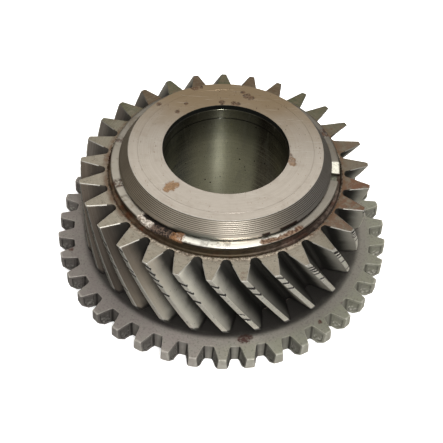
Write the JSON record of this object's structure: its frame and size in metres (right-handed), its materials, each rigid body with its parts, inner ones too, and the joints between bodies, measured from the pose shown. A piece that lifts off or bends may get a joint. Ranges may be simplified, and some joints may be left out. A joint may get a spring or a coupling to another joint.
{
  "type": "helical gear",
  "caption": "Left-hand helical gearbox gear with a plain running bore, a grooved friction cone held by a split ring on its upper hub, and a wide ring of straight drafted teeth below.",
  "frame": {"origin": "on the bore axis, in the plane of the lower hub face", "axes": "+Z along the bore axis, from the straight-tooth ring towards the friction cone; +X and +Y are free, and the gap in the retaining ring lies 8.4 degrees clockwise of +X seen from above"},
  "size_m": [0.1405, 0.1406, 0.0545],
  "materials": {
    "gear_steel": "satin ground tooth flanks, fine-turned end faces",
    "sleeve_steel": "polished raceway",
    "cone_steel": "fine-turned, grooved",
    "snap_steel": "polished, spotted with rust",
    "dog_steel": "matte, heat-treated grey"
  },
  "bodies": {
    "root": {"helical_gear": "gear_steel", "bore_sleeve": "sleeve_steel", "friction_cone_ring": "cone_steel", "split_retaining_ring": "snap_steel", "straight_tooth_ring": "dog_steel"}
  },
  "joints": []
}
